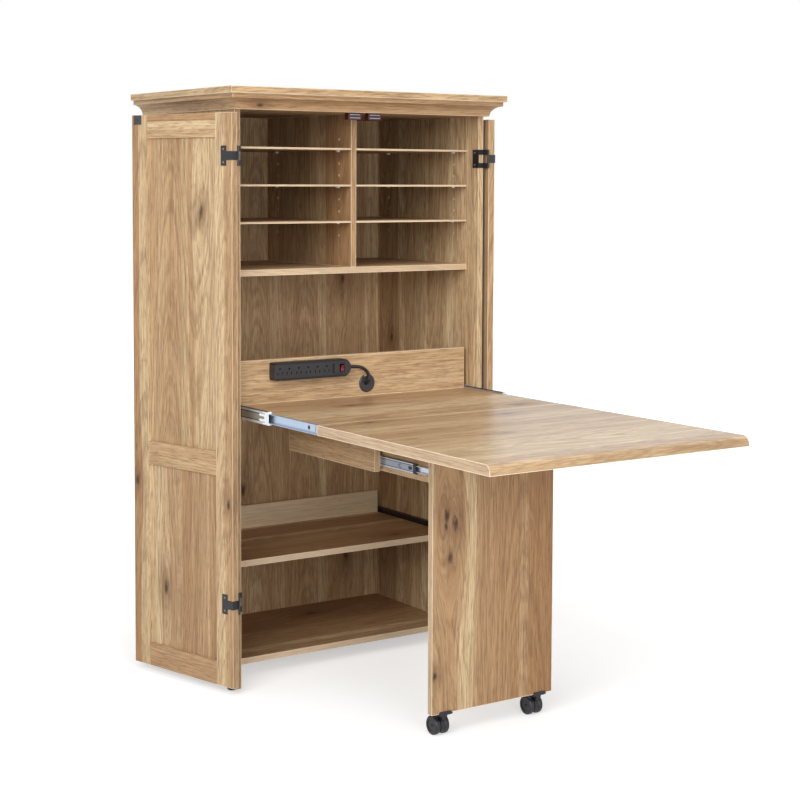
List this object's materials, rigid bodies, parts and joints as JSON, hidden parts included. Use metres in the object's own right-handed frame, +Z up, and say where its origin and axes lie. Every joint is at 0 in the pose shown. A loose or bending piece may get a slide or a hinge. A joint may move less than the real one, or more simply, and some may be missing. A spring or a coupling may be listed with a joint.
{
  "type": "computer armoire",
  "caption": "Tall oak cabinet with framed doors folded back, open shelves above, and a pull-out worktop whose drop leaf rests on a sliding leg with casters.",
  "frame": {"origin": "on the floor, under the middle of the open piece's bounding box", "axes": "+X to the right seen from the front, +Y to the wall, +Z up"},
  "size_m": [1.003, 1.5536, 1.538],
  "materials": {
    "oak": "satin lacquer",
    "oak_table": "satin lacquer",
    "oak_door": "satin lacquer",
    "black_metal": "satin black",
    "zinc": "bright zinc",
    "black_plastic": "moulded",
    "black_rubber": "matte",
    "maroon_plastic": "moulded",
    "red_plastic": "moulded",
    "strip_grey": "moulded",
    "cord_grey": "smooth"
  },
  "bodies": {
    "carcass": {"side_left": "oak", "side_right": "oak", "top_board": "oak", "cornice_front": "oak", "cornice_left": "oak", "cornice_right": "oak", "ceiling_panel": "oak", "back_panel": "oak", "divider": "oak", "fixed_shelf": "oak", "bottom_panel": "oak", "small_shelves_left": "oak", "small_shelves_right": "oak", "lower_shelf": "oak", "lower_stop": "oak", "lower_runners": "black_metal", "shelf_pins": "zinc", "catch_housings": "maroon_plastic", "catch_poles": "zinc", "glides": "black_plastic", "hinge_frame_leaves": "black_metal", "slide_cabinet_members": "zinc"},
    "worktop": {"worktop": "oak_table", "power_board": "oak_table", "aprons": "oak_table", "power_strip": "strip_grey", "grommet": "black_plastic", "power_cord": "cord_grey", "slide_inner_members": "zinc", "leaf_hinge_plates": "black_metal", "leg_slide_apron_members": "zinc"},
    "worktop_slide_middles": {"slide_middle_members": "zinc"},
    "leaf": {"drop_leaf": "oak_table", "leaf_hinge_flaps": "black_metal"},
    "leg": {"leg_panel": "oak_table", "leg_arms": "oak_table", "leg_slide_arm_members": "zinc", "caster_plates": "black_metal"},
    "leg_slide_middles": {"leg_slide_middle_members": "zinc"},
    "switch": {"rocker": "red_plastic"},
    "door_left": {"door_left_hinge_stile": "oak_door", "door_left_free_stile": "oak_door", "door_left_rails": "oak_door", "door_left_upper_panel": "oak_door", "door_left_lower_panel": "oak_door", "door_left_hinge_leaves": "black_metal", "door_left_handle": "black_metal", "door_left_strike": "black_metal"},
    "caster_left": {"caster_fork_left": "black_plastic"},
    "wheels_left": {"caster_wheels_left": "black_rubber"},
    "door_right": {"door_right_hinge_stile": "oak_door", "door_right_free_stile": "oak_door", "door_right_rails": "oak_door", "door_right_upper_panel": "oak_door", "door_right_lower_panel": "oak_door", "door_right_hinge_leaves": "black_metal", "door_right_handle": "black_metal", "door_right_strike": "black_metal"},
    "caster_right": {"caster_fork_right": "black_plastic"},
    "wheels_right": {"caster_wheels_right": "black_rubber"}
  },
  "joints": [
    {"name": "door_left_swing", "type": "hinge", "parent": "carcass", "child": "door_left", "pos_m": [-0.3886, 0.23855, 0.748], "axis": [0, 0, 1], "range_deg": [-9, 134]},
    {"name": "door_right_swing", "type": "hinge", "parent": "carcass", "child": "door_right", "pos_m": [0.3886, 0.23855, 0.748], "axis": [0, 0, -1], "range_deg": [-9, 134]},
    {"name": "worktop_slide", "type": "slide", "parent": "carcass", "child": "worktop", "axis": [0, 1, 0], "range_m": [0, 0.395]},
    {"name": "worktop_middle_slide", "type": "slide", "parent": "carcass", "child": "worktop_slide_middles", "axis": [0, 1, 0], "range_m": [0, 0.1975]},
    {"name": "leaf_lift", "type": "hinge", "parent": "worktop", "child": "leaf", "pos_m": [0, -0.10415, 0.7047], "axis": [-1, 0, 0], "range_deg": [0, 2]},
    {"name": "leg_slide", "type": "slide", "parent": "worktop", "child": "leg", "axis": [0, 1, 0], "range_m": [0, 0.21]},
    {"name": "leg_middle_slide", "type": "slide", "parent": "worktop", "child": "leg_slide_middles", "axis": [0, 1, 0], "range_m": [0, 0.105]},
    {"name": "switch_rock", "type": "hinge", "parent": "worktop", "child": "switch", "pos_m": [-0.05955, 0.28145, 0.8145], "axis": [-1, 0, 0], "range_deg": [0, 16]},
    {"name": "caster_left_swivel", "type": "hinge", "parent": "leg", "child": "caster_left", "pos_m": [-0.141, -0.302, 0.054], "axis": [0, 0, 1], "continuous": true},
    {"name": "caster_left_roll", "type": "hinge", "parent": "caster_left", "child": "wheels_left", "pos_m": [-0.141, -0.28, 0.023], "axis": [1, 0, 0], "continuous": true},
    {"name": "caster_right_swivel", "type": "hinge", "parent": "leg", "child": "caster_right", "pos_m": [0.141, -0.302, 0.054], "axis": [0, 0, 1], "continuous": true},
    {"name": "caster_right_roll", "type": "hinge", "parent": "caster_right", "child": "wheels_right", "pos_m": [0.141, -0.28, 0.023], "axis": [1, 0, 0], "continuous": true}
  ],
  "couplings": [
    {"joint": "worktop_middle_slide", "follows": "worktop_slide", "ratio": 0.5},
    {"joint": "leg_middle_slide", "follows": "leg_slide", "ratio": 0.5}
  ]
}
